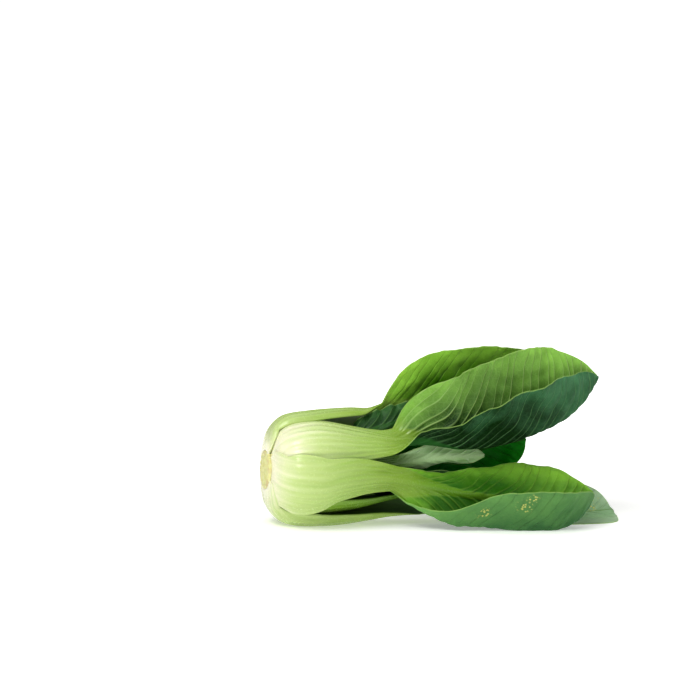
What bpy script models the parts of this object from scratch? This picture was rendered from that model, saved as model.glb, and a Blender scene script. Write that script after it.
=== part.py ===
"""Bok choy: one whole head lying on its side, its leaves nested round a short cut stem.

Lengths are in millimetres until the meshes are made in metres. The head has its own
axes: x runs from the cut stem to the leaf tips, y goes to the back and z goes up. An
angle round the head is 0 at the front (-y), 90 at the top and 180 at the back. Every
leaf is one closed skin, lofted along its midrib from a thick arc round the stem to a
thin waved blade.
"""

from dataclasses import dataclass
import math

import bpy
import numpy as np

MM = 0.001

# Driving dimensions of the head, in millimetres.
FLOOR = -31.2            # height of the resting surface under the head's axis
BELLY_X = 26.0           # the layers of leaves shrink towards this point of the axis
BELLY_R = 30.0           # radius of the outermost stalks at the belly

# Outermost stalk: x, distance from the axis, half of its width, thickness.
STALK = np.array([
    (-0.3, 10.6, 8.5, 2.0),
    (0.6, 16.0, 13.0, 2.4),
    (3.4, 22.5, 18.5, 3.4),
    (10.4, 27.8, 22.5, 4.8),
    (25.0, 30.0, 24.5, 5.4),
    (45.0, 28.0, 20.0, 5.0),
    (70.0, 21.5, 12.0, 4.4),
    (90.0, 18.0, 9.0, 3.8),
])
BELLY_ROWS = 5           # rows of STALK that every leaf follows, up to the belly
LAYER_THIN = 0.65        # how much of a stalk's thickness shrinks with its layer
TUCK_X = (2.0, 20.0)     # range of x over which a tucked base returns to its layer
WRAP_X = (0.6, 6.0)      # range of x over which a stalk's wrap round the stem ends
WAIST_X = (13.0, 34.0)   # range of x over which a waisted stalk gets narrower
ARC_X = (15.0, 40.0)     # up to here a section is an arc round the head's axis
UPRIGHT = 0.6            # how far sections stay across the head where a blade bends up

# Cut stem: x and radius from its thin end inside the head to its cut face.
STEM = [(19.5, 0.0), (19.5, 1.4), (14.5, 3.6), (8.5, 6.2), (-0.8, 10.1), (-1.4, 9.9),
        (-1.8, 9.3), (-1.8, 0.0)]
STEM_SIDES = 40
SCREW_MERGE = 0.0001     # points this near the stem's axis become one, in metres

# Thicknesses and widths of a leaf, in millimetres.
STALK_EDGE = 1.5         # thickness along a stalk's edges
BLADE = 0.8              # thickness of a blade between its veins
MIDRIB_SHARE = 0.8       # thickness of a midrib over the stalk's, where the blade begins
MIDRIB_TIP = 1.1         # thickness of a midrib near the tip
MIDRIB_W = 3.0           # half-width of a midrib in the blade
TIP_HALF_WIDTH = 0.9     # half-width of a leaf at its very tip

# Shares of a leaf's length.
STALK_NARROWS = 0.6      # from here the stalk's part of the width shrinks
STALK_LOST = 0.9         # as much of it is gone at the tip
MIDRIB_THINS = 0.45      # from here the midrib gets thinner

# Where the stalk's form turns into the blade's: from a share of the x at which the
# blade begins to a distance beyond it.
CURL_FROM, CURL_OVER = 0.75, 15.0
THIN_FROM, THIN_OVER = 0.72, 12.0
WIDTH_BLEND = 3.0        # a larger exponent joins the stalk's and blade's widths more sharply

FOLD_SOFT = 4.0          # a fold at the midrib bends over this distance from it
CREASE = (0.08, 0.10)    # a flap's crease takes these shares of the width on its two sides
WAVE_X = (-5.0, 15.0)    # range past the blade's start over which its waves grow
WAVE_RISE = 2.5          # a larger exponent keeps the waves nearer to the margin
SIDE_PHASE = 1.3         # the waves of the two margins aren't in step
FLAT = 0.2               # whatever comes this close to the resting surface lies flat on it
SOFT = 0.5               # how gently a leaf bends where it meets the surface

# Resolution.
SPINE_STEPS = 400        # points along a midrib's curve
SECTION_STEPS = 120      # steps of the sum that bends a section
STATIONS = 27            # rows of points along a large leaf
COLUMNS = 13             # rows of points across a large leaf
END_CLUSTER = 0.052      # how much closer the stations are at both ends
QUARTER_CLUSTER = 0.022  # the same, in waves of half the length
COLUMN_POWER = 1.35      # a larger exponent draws columns towards the midrib
FLAP_COLUMN_POWER = 1.1  # the same for a side with a flap
FLAP_COLUMNS = 2         # columns more on a side with a flap

STALK_COLOUR = (0.52, 0.70, 0.27)
BLADE_COLOUR = (0.09, 0.24, 0.04)
CUT_COLOUR = (0.70, 0.58, 0.38)


@dataclass
class Leaf:
    """One leaf. Pairs hold the two sides: first towards smaller angles, then larger."""

    name: str
    angle: float                     # where it leaves the stem, degrees round the head
    inset: float                     # depth of its layer under the outermost stalks
    path: list                       # midrib points (x, y, z) past the belly
    width: tuple = (30.0, 30.0)      # greatest half-width of the blade
    start: tuple = (80.0, 80.0)      # x at which each side of the blade begins
    widest: tuple = (0.5, 0.5)       # place of the greatest width along the blade
    round_base: tuple = (0.0, 0.0)   # 0 for a wedge at the blade's base, 1 for a lobe
    girth: tuple = (1.0, 1.0)        # width of the stalk over that of STALK
    waist: tuple = (0.0, 0.0)        # share of the stalk's width that it loses past the belly
    wrap: tuple = (12.0, 12.0)       # how much further it reaches round the stem, degrees
    tuck: float = 0.0                # how much deeper its base sits than its layer's
    twist: tuple = (0.0, 80.0, 120.0)        # degrees, and the x range that it grows over
    fold: tuple = (0.0, 0.0)         # outward fold at the midrib, degrees
    fold_x: tuple = (80.0, 110.0)    # x range that the fold grows over
    cup: tuple = (25.0, 25.0)        # inward curl from midrib to margin, degrees
    flap: tuple = (0.0, 80.0, 120.0)  # outward fold of the first side's outer part, and x range
    flap_at: tuple = (0.85, 0.45, 80.0, 120.0)  # its place as a share of the width, and x range
    wave: tuple = (1.2, 27.0, 0.0)   # margin waves: height, length, phase
    tip: tuple = (2.6, 0.55)         # exponents of the tip: a larger first one is blunter
    stations: int = STATIONS
    columns: int = COLUMNS


def smoothstep(value, low, high):
    share = np.clip((value - low) / (high - low), 0.0, 1.0)
    return share * share * (3.0 - 2.0 * share)


def curve_through(points, samples):
    """Positions evenly spaced in parameter on a smooth curve through the points."""
    points = np.asarray(points, float)
    chord = np.linalg.norm(np.diff(points, axis=0), axis=1) ** 0.5
    knots = np.concatenate([[0.0], np.cumsum(chord)])
    slope = np.gradient(points, knots, axis=0)
    at = np.linspace(0.0, knots[-1], samples)
    span = np.clip(np.searchsorted(knots, at, side="right") - 1, 0, len(chord) - 1)
    size = (knots[span + 1] - knots[span])[:, None]
    t = (at[:, None] - knots[span][:, None]) / size
    return ((2 * t**3 - 3 * t**2 + 1) * points[span] + (t**3 - 2 * t**2 + t) * size * slope[span]
            + (3 * t**2 - 2 * t**3) * points[span + 1] + (t**3 - t**2) * size * slope[span + 1])


def round_axis(angle):
    """Unit vectors away from the axis and round it, at an angle in degrees."""
    turn = np.radians(np.asarray(angle, float))
    zero = np.zeros_like(turn)
    away = np.stack([zero, -np.cos(turn), np.sin(turn)], -1)
    around = np.stack([zero, np.sin(turn), np.cos(turn)], -1)
    return away, around


def unit(vectors):
    return vectors / np.linalg.norm(vectors, axis=-1, keepdims=True)


def stalk_rows(leaf):
    """STALK shrunk towards the belly point for this leaf's layer."""
    scale = 1.0 - leaf.inset / BELLY_R
    rows = STALK.copy()
    rows[:, 0] = BELLY_X + (rows[:, 0] - BELLY_X) * scale
    rows[:, 0] += leaf.tuck * (1.0 - smoothstep(STALK[:, 0], *TUCK_X))
    rows[:, 1:3] *= scale
    rows[:, 3] *= 1.0 - LAYER_THIN * (1.0 - scale)
    return rows


def spine_of(leaf):
    """Points of the leaf's midrib, evenly spaced along it, and their distance along it."""
    rows = stalk_rows(leaf)[:BELLY_ROWS]
    away = round_axis(leaf.angle)[0]
    stalk = rows[:, :1] * np.array([1.0, 0.0, 0.0]) + rows[:, 1:2] * away
    dense = curve_through(np.vstack([stalk, leaf.path]), SPINE_STEPS * 4)
    along = np.concatenate([[0.0], np.cumsum(np.linalg.norm(np.diff(dense, axis=0), axis=1))])
    even = np.linspace(0.0, along[-1], SPINE_STEPS)
    return at_distances(dense, along, even), even


def at_distances(points, distance, wanted):
    """Points of a line at the wanted distances along it."""
    return np.stack([np.interp(wanted, distance, points[:, k]) for k in range(3)], -1)


def blade_outline(leaf, side, share):
    """Half-width of a blade, as a share of its greatest, from its base to its tip."""
    widest = leaf.widest[side]
    lobe = leaf.round_base[side]
    rise = np.clip(share / widest, 0.0, 1.0)
    wedge = rise * rise * (3.0 - 2.0 * rise)
    round_start = np.sqrt(1.0 - (1.0 - rise) ** 2)
    fall = np.clip((share - widest) / (1.0 - widest), 0.0, 1.0)
    tip = (1.0 - fall ** leaf.tip[0]) ** leaf.tip[1]
    return np.where(share < widest, (1.0 - lobe) * wedge + lobe * round_start, tip)


def half_width(leaf, side, x, along):
    """Half of the leaf's width on one side, at stations along the midrib."""
    rows = stalk_rows(leaf)
    total = along[-1]
    radius = np.interp(x, rows[:, 0], rows[:, 1])
    wrap = math.radians(leaf.wrap[side]) * (1.0 - smoothstep(x, *WRAP_X))
    girth = leaf.girth[side] * (1.0 - leaf.waist[side] * smoothstep(x, *WAIST_X))
    stalk = np.interp(x, rows[:, 0], rows[:, 2]) * girth + wrap * radius
    stalk *= 1.0 - STALK_LOST * smoothstep(along, STALK_NARROWS * total, total)
    begin = np.interp(leaf.start[side], x, along)
    share = np.clip((along - begin) / (total - begin), 0.0, 1.0)
    blade = leaf.width[side] * blade_outline(leaf, side, share)
    joined = (stalk**WIDTH_BLEND + blade**WIDTH_BLEND) ** (1.0 / WIDTH_BLEND)
    return np.maximum(joined, TIP_HALF_WIDTH)


def bend_across(leaf, side, x, width, across):
    """Angle of the section against the midrib's own plane, inwards, at distances across."""
    rows = stalk_rows(leaf)
    start = leaf.start[side]
    radius = np.interp(x, rows[:, 0], rows[:, 1])[:, None]
    blade = smoothstep(x, CURL_FROM * start, start + CURL_OVER)[:, None]
    share = across / width[:, None]
    arc = across / radius * (1.0 - blade) + np.radians(leaf.cup[side]) * share * blade
    fold = -math.radians(leaf.fold[side]) * smoothstep(x, *leaf.fold_x)[:, None]
    bend = arc + fold * smoothstep(across, 0.0, FOLD_SOFT)
    if side == 0 and leaf.flap[0]:
        first, last, low, high = leaf.flap_at
        place = (first + (last - first) * smoothstep(x, low, high))[:, None]
        turn = math.radians(leaf.flap[0]) * smoothstep(x, *leaf.flap[1:])[:, None]
        bend = bend - turn * smoothstep(share, place - CREASE[0], place + CREASE[1])
    return bend


def thickness_of(leaf, x, along, width, across):
    """Thickness of the leaf at distances across from the midrib."""
    rows = stalk_rows(leaf)
    start = min(leaf.start)
    middle = np.interp(x, rows[:, 0], rows[:, 3])[:, None]
    blade = smoothstep(x, THIN_FROM * start, start + THIN_OVER)[:, None]
    share = np.clip(across / width[:, None], 0.0, 1.0)
    stalk = STALK_EDGE + (middle - STALK_EDGE) * (1.0 - share**2)
    fade = smoothstep(along, MIDRIB_THINS * along[-1], along[-1])[:, None]
    rib = middle * (1.0 - fade) * MIDRIB_SHARE + MIDRIB_TIP * fade
    lamina = BLADE + np.maximum(rib - BLADE, 0.0) * np.exp(-((across / MIDRIB_W) ** 2))
    return stalk * (1.0 - blade) + lamina * blade


def section(leaf, side, x, width, share):
    """Half sections: distance out from the midrib, drop inwards, and angle, at each share."""
    steps = np.linspace(0.0, 1.0, SECTION_STEPS + 1)[None, :] * width[:, None]
    bend = bend_across(leaf, side, x, width, steps)
    middle = 0.5 * (bend[:, 1:] + bend[:, :-1])
    step = np.diff(steps, axis=1)
    start = np.zeros((len(x), 1))
    out = np.concatenate([start, np.cumsum(np.cos(middle) * step, axis=1)], axis=1)
    inward = np.concatenate([start, np.cumsum(np.sin(middle) * step, axis=1)], axis=1)
    place = share[0] * SECTION_STEPS
    low = np.minimum(place.astype(int), SECTION_STEPS - 1)
    part = place - low
    return [line[:, low] * (1.0 - part) + line[:, low + 1] * part for line in (out, inward, bend)]


def margin_wave(leaf, side, x, along, share):
    """How far the waved margin stands off the blade's plain form."""
    height, length, phase = leaf.wave
    swing = np.sin(2.0 * math.pi * along / length + phase + SIDE_PHASE * side)
    swing *= smoothstep(x, leaf.start[side] + WAVE_X[0], leaf.start[side] + WAVE_X[1])
    return height * swing[:, None] * share**WAVE_RISE


def press_on_floor(sheet, thick):
    """Where a leaf would sink under the resting surface it lies flat on it instead."""
    low = FLOOR + 0.5 * thick
    above = sheet[..., 2] - low
    blend = (np.clip(above, -SOFT, SOFT) + SOFT) ** 2 / (4.0 * SOFT)
    sheet[..., 2] = low + np.where(above > SOFT, above, blend)
    return sheet


def directions(leaf, x, tangent):
    """Unit vectors across the leaf and away from its inner face, at every station."""
    angle = leaf.angle + leaf.twist[0] * smoothstep(x, *leaf.twist[1:])
    away_from_axis, around = round_axis(angle)
    lean = np.sum(around * tangent, axis=1, keepdims=True)
    around = unit(around - (1.0 - UPRIGHT) * lean * tangent)
    away = unit(np.cross(tangent, around))
    arc = smoothstep(x, *ARC_X)[:, None]
    return around, unit(away * arc + away_from_axis * (1.0 - arc))


def leaf_sheet(leaf):
    """Points of the leaf's middle surface, row by row along it, and its thickness there."""
    spine, distance = spine_of(leaf)
    along = station_places(leaf) * distance[-1]
    columns = column_places(leaf)
    point = at_distances(spine, distance, along)
    tangent = unit(at_distances(np.gradient(spine, distance, axis=0), distance, along))
    x = point[:, 0]
    around, away = directions(leaf, x, tangent)
    sheet = np.empty((len(along), len(columns), 3))
    thick = np.empty((len(along), len(columns)))
    for side, sign in ((0, -1.0), (1, 1.0)):
        chosen = columns * sign >= 0
        share = np.abs(columns[chosen])[None, :]
        width = np.interp(along, distance, half_width(leaf, side, spine[:, 0], distance))
        out, inward, bend = section(leaf, side, x, width, share)
        wave = margin_wave(leaf, side, x, along, share)
        out = out + wave * np.sin(bend)
        inward = inward - wave * np.cos(bend)
        sheet[:, chosen] = (point[:, None] + sign * out[..., None] * around[:, None]
                            - inward[..., None] * away[:, None])
        thick[:, chosen] = thickness_of(leaf, x, along, width, share * width[:, None])
    return press_on_floor(sheet, thick), thick


def sheet_normals(sheet):
    return unit(np.cross(np.gradient(sheet, axis=0), np.gradient(sheet, axis=1)))


def column_places(leaf):
    """Places across a leaf, -1 to 1, closest together at the midrib and round a flap."""
    half = leaf.columns // 2
    plus = np.linspace(0.0, 1.0, half + 1)[1:] ** COLUMN_POWER
    minus = plus
    if leaf.flap[0]:
        minus = np.linspace(0.0, 1.0, half + FLAP_COLUMNS + 1)[1:] ** FLAP_COLUMN_POWER
    return np.concatenate([-minus[::-1], [0.0], plus])


def station_places(leaf):
    """Places along a leaf, 0 to 1, closer together at the belly and at the tip."""
    even = np.linspace(0.0, 1.0, leaf.stations)
    turn = 2.0 * math.pi * even
    return even - END_CLUSTER * np.sin(turn) - QUARTER_CLUSTER * np.sin(2.0 * turn)


def leaf_solid(leaf):
    """Points of a leaf's inner and outer face, one after the other, and its triangles."""
    sheet, thick = leaf_sheet(leaf)
    offset = sheet_normals(sheet) * thick[..., None] * 0.5
    faces = [sheet - offset, sheet + offset]
    for face in faces:
        face[..., 2] = np.where(face[..., 2] < FLOOR + FLAT, FLOOR, face[..., 2])
    points = np.concatenate([face.reshape(-1, 3) for face in faces])
    return points, skin_triangles(*thick.shape)


def skin_triangles(rows, cols):
    """Triangles of two grids of points back to back, and of the rim round them."""
    index = np.arange(rows * cols).reshape(rows, cols)
    here, right = index[:-1, :-1].ravel(), index[:-1, 1:].ravel()
    after, beyond = index[1:, :-1].ravel(), index[1:, 1:].ravel()
    near = np.concatenate([np.stack([here, beyond, after], -1), np.stack([here, right, beyond], -1)])
    far = near[:, ::-1] + rows * cols
    edge = np.concatenate([index[:, 0], index[-1, 1:], index[-2::-1, -1], index[0, -2:0:-1]])
    following = np.roll(edge, -1)
    edge_far, following_far = edge + rows * cols, following + rows * cols
    rim = np.concatenate([np.stack([edge, following, following_far], -1),
                          np.stack([edge, following_far, edge_far], -1)])
    return np.concatenate([near, far, rim])


def plain_path(angle, start, end, count=4):
    """A straight midrib: start and end are (x, distance from the axis)."""
    away = round_axis(angle)[0]
    path = []
    for share in np.linspace(0.0, 1.0, count):
        x = start[0] + (end[0] - start[0]) * share
        r = start[1] + (end[1] - start[1]) * share
        path.append((x, *(away[1:] * r)))
    return path


LEAVES = [
    Leaf("leaf_01", -117.5, 0.0,
         [(45, 12, -25.5), (75, 11, -23.5), (105, 12, -25.0), (140, 16, -27.5), (172, 19, -30),
          (208, 20, -28)],
         width=(25, 31), start=(84, 84), girth=(1.0, 1.29), wrap=(8, 33), widest=(0.60, 0.64),
         twist=(8, 70, 110), cup=(30, 26), wave=(1.2, 31, 0.4), tip=(6.0, 0.45)),
    Leaf("leaf_02", 105.0, 0.0,
         [(45, 7.5, 30.6), (68, 9.5, 31), (95, 13, 37), (120, 15, 41.5), (145, 16, 45),
          (168, 17, 49), (186, 17, 54)],
         width=(29, 30), start=(66, 76), round_base=(1.0, 0.3), girth=(0.6, 1.0),
         waist=(0.25, 0.0), wrap=(14, 10), widest=(0.3, 0.45), fold=(64, 0), fold_x=(52, 70), cup=(12, 30),
         wave=(0.5, 34, 0.0), tip=(2.1, 0.7)),
    Leaf("leaf_03", -14.5, 0.6,
         [(36, -27.8, -5.0), (52, -24, -3.4), (72, -20.8, -4.6), (90, -22, -8), (108, -24.5, -11.5),
          (126, -25, -13.5), (147, -25, -14.5), (166, -23, -14), (183, -20, -13.5)],
         width=(49, 28), start=(65, 62), girth=(0.84, 0.86), waist=(0.42, 0.2),
         wrap=(0, 22), tuck=2.5,
         round_base=(0.5, 0.3), widest=(0.73, 0.70), fold=(26, -56), fold_x=(62, 88),
         cup=(5, 24), flap=(142, 56, 70), flap_at=(0.90, 0.38, 66, 130), wave=(0.7, 30, 0.0),
         tip=(1.9, 0.65)),
    Leaf("leaf_04", 190.0, 4.5,
         [(48, 22, -4), (78, 18, -1), (100, 22, 2), (122, 25.5, 5.5), (140, 27, 9.5), (157, 27, 12.5)],
         width=(19, 19), start=(66, 76), girth=(1.3, 1.0), cup=(30, 30), wave=(1.2, 28, 1.0),
         round_base=(0.4, 0.0), tip=(3.5, 0.5)),
    Leaf("leaf_05", 52.5, 3.8,
         [(50, -13.5, 17.8), (70, -12, 16), (88, -12, 16.2), (108, -13, 13.8), (130, -14, 16),
          (148, -14, 21.5), (166, -13, 29.5), (178, -10, 39), (188, -5, 51.5)],
         width=(34, 46), start=(70, 70), round_base=(0.35, 1.0), widest=(0.55, 0.54), tuck=2.1,
         girth=(0.9, 0.94), wrap=(4, 12), fold=(96, 50), fold_x=(64, 84), cup=(2, 4), wave=(1.2, 29, 0.0)),
    Leaf("leaf_06", -85.0, 7.0,
         [(48, -1.8, -20.5), (75, -1, -15.5), (100, 0, -15.5), (125, 0, -15.5), (150, 2, -13)],
         width=(12, 14), start=(72, 72), cup=(20, 20), stations=22, columns=9),
    Leaf("leaf_07", 137.5, 9.5,
         [(48, 13.3, 12.3), (72, 12, 11.5), (95, 12, 17), (120, 13, 25), (146, 15, 31)],
         width=(13, 9), start=(70, 70), girth=(0.75, 1.0), twist=(-25, 70, 100), cup=(25, 15),
         stations=22, columns=9),
    Leaf("leaf_08", 0.0, 9.0,
         [(48, -17.5, 1.5), (68, -12.5, 3.5), (84, -10, 5.8), (102, -9, 7.3), (122, -8.5, 7.8)],
         width=(5.5, 8), start=(62, 62), girth=(0.8, 0.8), fold=(-40, 0), fold_x=(60, 80),
         cup=(20, 10), stations=22, columns=9),
    Leaf("leaf_09", -137.5, 12.0,
         [(48, 12, -11), (70, 10, -9), (92, 10.5, -7.5), (110, 12, -7), (128, 13, -6)],
         width=(9, 9), start=(66, 66), stations=20, columns=9),
    Leaf("leaf_10", 85.0, 13.5,
         [(38, -0.8, 16), (50, -0.2, 18.2), (62, 0.4, 21.2), (74, 1.2, 25), (86, 1.6, 29),
          (96, 2.2, 33)],
         width=(8, 11), start=(46, 38), widest=(0.5, 0.45), round_base=(0.5, 0.6),
         girth=(0.7, 0.5), twist=(-84, 32, 60), wave=(1.4, 11, 0.0), stations=24, columns=9),
    Leaf("leaf_11", -52.5, 14.6, plain_path(-52.5, (45, 12.5), (106, 6.0)),
         width=(11, 8), start=(46, 56), round_base=(0.5, 0.0), stations=18, columns=7),
    Leaf("leaf_12", 170.0, 16.0, plain_path(170.0, (45, 11.0), (90, 6.0)),
         width=(6, 6), start=(55, 55), stations=18, columns=7),
    Leaf("leaf_13", 32.5, 19.0, plain_path(32.5, (42, 8.5), (78, 4.5)),
         width=(5, 5), start=(50, 50), stations=16, columns=7),
    Leaf("leaf_14", -105.0, 21.0, plain_path(-105.0, (40, 7.0), (64, 4.0)),
         width=(4, 4), start=(46, 46), stations=16, columns=7),
]


def add_material(name, colour, roughness):
    """A Principled material with a colour, in linear values, and a roughness."""
    made = bpy.data.materials.new(name)
    made.use_nodes = True
    surface = made.node_tree.nodes["Principled BSDF"]
    surface.inputs["Base Color"].default_value = (*colour, 1.0)
    surface.inputs["Roughness"].default_value = roughness
    surface.inputs["Metallic"].default_value = 0.0
    return made


def clear_scene():
    for item in list(bpy.data.objects):
        bpy.data.objects.remove(item, do_unlink=True)


def add_object(name, mesh, materials, collection):
    for each in materials:
        mesh.materials.append(each)
    mesh.shade_smooth()
    made = bpy.data.objects.new(name, mesh)
    collection.objects.link(made)
    return made


def add_leaf(leaf, solid, origin, materials, collection):
    """A leaf, its stalk in the first material and its blade in the second."""
    points, triangles = solid
    mesh = bpy.data.meshes.new(leaf.name)
    mesh.from_pydata(((points - origin) * MM).tolist(), [], triangles.tolist())
    made = add_object(leaf.name, mesh, materials, collection)
    edge = (min(leaf.start) - origin[0]) * MM
    for face in mesh.polygons:
        face.material_index = int(face.center.x > edge)
    return made


def add_stem(origin, material, collection):
    """The cut stem: a profile turned round the head's axis."""
    mesh = bpy.data.meshes.new("stem_base")
    points = [(x * MM, radius * MM, 0.0) for x, radius in STEM]
    edges = [(k, k + 1) for k in range(len(STEM) - 1)]
    mesh.from_pydata(points, edges, [])
    made = add_object("stem_base", mesh, [material], collection)
    made.location = -origin * MM
    turned = made.modifiers.new("turned", "SCREW")
    turned.axis = "X"
    turned.steps = STEM_SIDES
    turned.render_steps = STEM_SIDES
    turned.use_merge_vertices = True
    turned.merge_threshold = SCREW_MERGE
    return made


def box_origin(solids):
    """The point under the middle of the head's box, in the head's own axes."""
    points = np.concatenate([points for points, _ in solids])
    low, high = points.min(axis=0), points.max(axis=0)
    low[0] = min(low[0], min(x for x, _ in STEM))
    return np.array([0.5 * (low[0] + high[0]), 0.5 * (low[1] + high[1]), low[2]])


def main():
    clear_scene()
    collection = bpy.data.collections.new("bok_choy")
    bpy.context.scene.collection.children.link(collection)
    leaf_materials = [add_material("pale_stalk", STALK_COLOUR, 0.35),
                      add_material("green_blade", BLADE_COLOUR, 0.45)]
    solids = [leaf_solid(leaf) for leaf in LEAVES]
    origin = box_origin(solids)
    for leaf, solid in zip(LEAVES, solids):
        add_leaf(leaf, solid, origin, leaf_materials, collection)
    add_stem(origin, add_material("cut_stem", CUT_COLOUR, 0.75), collection)


main()
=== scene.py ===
"""Looks of a head of bok choy that lies on its side on a pale floor.

Every leaf is built again as a fine mesh on nearly the same surface as its solid, with
its midrib, side veins, ribbed stalk and thin margin. Lengths are in millimetres until the
meshes are made in metres. The head has its own axes: x runs from the cut stem to the
leaf tips, y goes to the back and z goes up. An angle round the head is 0 at the front
(-y), 90 at the top and 180 at the back. A leaf's outer face, with the raised veins, grew
away from the head's axis and its inner face towards it.
"""

from dataclasses import dataclass
import math

import bpy
from mathutils import Matrix, Vector
import numpy as np


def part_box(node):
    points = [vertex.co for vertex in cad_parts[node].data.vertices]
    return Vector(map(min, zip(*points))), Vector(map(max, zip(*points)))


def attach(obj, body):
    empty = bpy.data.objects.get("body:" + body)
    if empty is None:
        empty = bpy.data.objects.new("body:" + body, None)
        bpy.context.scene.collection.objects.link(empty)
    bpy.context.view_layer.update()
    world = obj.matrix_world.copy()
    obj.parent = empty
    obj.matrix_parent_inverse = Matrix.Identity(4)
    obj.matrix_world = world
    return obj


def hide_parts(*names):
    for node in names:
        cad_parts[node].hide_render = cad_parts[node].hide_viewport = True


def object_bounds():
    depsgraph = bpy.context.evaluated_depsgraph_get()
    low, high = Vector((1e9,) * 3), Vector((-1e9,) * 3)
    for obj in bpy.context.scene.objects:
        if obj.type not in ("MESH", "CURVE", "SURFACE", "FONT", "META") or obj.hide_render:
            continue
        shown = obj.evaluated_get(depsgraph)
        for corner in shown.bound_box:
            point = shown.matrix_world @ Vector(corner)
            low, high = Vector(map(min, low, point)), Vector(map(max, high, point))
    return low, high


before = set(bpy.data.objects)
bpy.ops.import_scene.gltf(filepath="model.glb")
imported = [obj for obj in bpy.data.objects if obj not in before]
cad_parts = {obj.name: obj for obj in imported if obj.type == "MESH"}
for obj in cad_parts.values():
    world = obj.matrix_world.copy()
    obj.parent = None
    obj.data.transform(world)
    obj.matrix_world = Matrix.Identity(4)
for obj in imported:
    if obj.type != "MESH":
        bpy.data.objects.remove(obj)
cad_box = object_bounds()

MM = 0.001

# ---- Form of the head, with nearly the same values as its solids ----

FLOOR = -31.2            # height of the resting surface under the head's axis
BELLY_X = 26.0           # the layers of leaves shrink towards this point of the axis
BELLY_R = 30.0           # radius of the outermost stalks at the belly

# Outermost stalk: x, distance from the axis, half of its width, thickness.
STALK = np.array([
    (-0.3, 10.6, 8.5, 2.0),
    (0.6, 16.0, 13.0, 2.4),
    (3.4, 22.5, 18.5, 3.4),
    (10.4, 27.8, 22.5, 4.8),
    (25.0, 30.0, 24.5, 5.4),
    (45.0, 28.0, 20.0, 5.0),
    (70.0, 21.5, 12.0, 4.4),
    (90.0, 18.0, 9.0, 3.8),
])
BELLY_ROWS = 5           # rows of STALK that every leaf follows, up to the belly
LAYER_THIN = 0.65        # how much of a stalk's thickness shrinks with its layer
TUCK_X = (2.0, 20.0)     # range of x over which a tucked base returns to its layer
WRAP_X = (0.6, 6.0)      # range of x over which a stalk's wrap round the stem ends
WAIST_X = (13.0, 34.0)   # range of x over which a waisted stalk gets narrower
ARC_X = (15.0, 40.0)     # up to here a section is an arc round the head's axis
UPRIGHT = 0.6            # how far sections stay across the head where a blade bends up

# Thicknesses and widths of a leaf.
STALK_EDGE = 1.5         # thickness along a stalk's edges
BLADE = 0.5              # thickness of a blade between its veins
MIDRIB_SHARE = 0.8       # thickness of a midrib over the stalk's, where the blade begins
MIDRIB_TIP = 1.1         # thickness of a midrib near the tip
MIDRIB_W = 2.6           # half-width of a midrib in the blade
TIP_HALF_WIDTH = 0.9     # half-width of a leaf at its very tip
ROUND_LEAST = 0.2        # share of its thickness that a rounded edge keeps

# Shares of a leaf's length.
STALK_NARROWS = 0.6      # from here the stalk's part of the width shrinks
STALK_LOST = 0.9         # as much of it is gone at the tip
MIDRIB_THINS = 0.45      # from here the midrib gets thinner

# Where the stalk's form turns into the blade's: from a share of the x at which the
# blade begins to a distance beyond it.
CURL_FROM, CURL_OVER = 0.75, 15.0
THIN_FROM, THIN_OVER = 0.72, 12.0
WIDTH_BLEND = 3.0        # a larger exponent joins the stalk's and blade's widths more sharply

FOLD_SOFT = 4.0          # a fold at the midrib bends over this distance from it
CREASE = (0.08, 0.10)    # a flap's crease takes these shares of the width on its two sides
LIP_SHARE = (0.6, 0.95)  # share of a stalk's half-width over which its edge curls inwards
WAVE_X = (-5.0, 15.0)    # range past the blade's start over which its waves grow
WAVE_RISE = 2.5          # a larger exponent keeps the waves nearer to the margin
SIDE_PHASE = 1.3         # the waves of the two margins aren't in step
SOFT = 0.5               # how gently a leaf bends where it meets the surface

# ---- Fine detail, in millimetres ----

VEIN_SPACING = 7.5       # distance between side veins along the midrib
VEIN_SLANT = 7.0         # how far forward a side vein runs, near the blade's base
VEIN_SLANT_TIP = 0.45    # the same near the tip, as a share of VEIN_SLANT
SLANT_FALL = 0.45        # share of the blade's length over which the slant falls off
VEIN_BEND = 0.62         # exponent that bends a side vein out towards the margin
VEIN_GATHER = 14.0       # over this distance the veins draw together into the stalk
VEIN_LEAST = 0.3         # nearest to the midrib that a vein's slant is worked out
VEIN_STAGGER = 0.5       # the two sides' veins leave the midrib in turn, in spacings
VEIN_UNEVEN = (0.16, 2.3)  # unevenness of the spacings, and its turn from vein to vein
VEIN_WANDER = (0.22, 34.0)  # how far a vein wanders, in spacings, and over what length
VEIN_HEIGHT = 0.28       # a side vein stands this far off the outer face
VEIN_HALF = 0.85         # half-width of that ridge
VEIN_SINK = 0.12         # a side vein lies this deep in the inner face
VEIN_CROWD = (0.25, 0.5)  # veins this near to each other, per millimetre, have no relief
RELIEF_THINS = 0.7       # share of the relief that is gone at the margin
RELIEF_X = (-6.0, 16.0)  # range past the blade's start over which the relief grows
CALM_EDGE = 3.0          # the relief ends this far from the margin
PUCKER = 0.38            # the blade bulges this far between two side veins
DIMPLE = 0.28            # height of the blade's uneven surface
DIMPLE_WAVES = ((5, 11.0), (6, 24.0))  # seed and length of its two sets of waves
DIMPLE_ACROSS = (1.0, 8.0)  # distance from the midrib over which it grows
STALK_RIB = 0.2          # height of the lengthwise ribs of a stalk
STALK_RIBS = 5           # ribs on each half of a stalk
STALK_RIB_ALONG = (8.0, 30.0)  # distance along the leaf over which they grow
RIB_WANDER = (7, 0.6, 90.0)  # seed, size and length of their wandering
FRILL = 0.18             # height of the small waves of a margin
FRILL_LENGTH = 9.0       # length of one of them
FRILL_DRIFT = (2.1, 13.0)  # how much their phase drifts, and over what length
FRILL_PHASE = 4.0        # those of the two margins aren't in step
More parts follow.
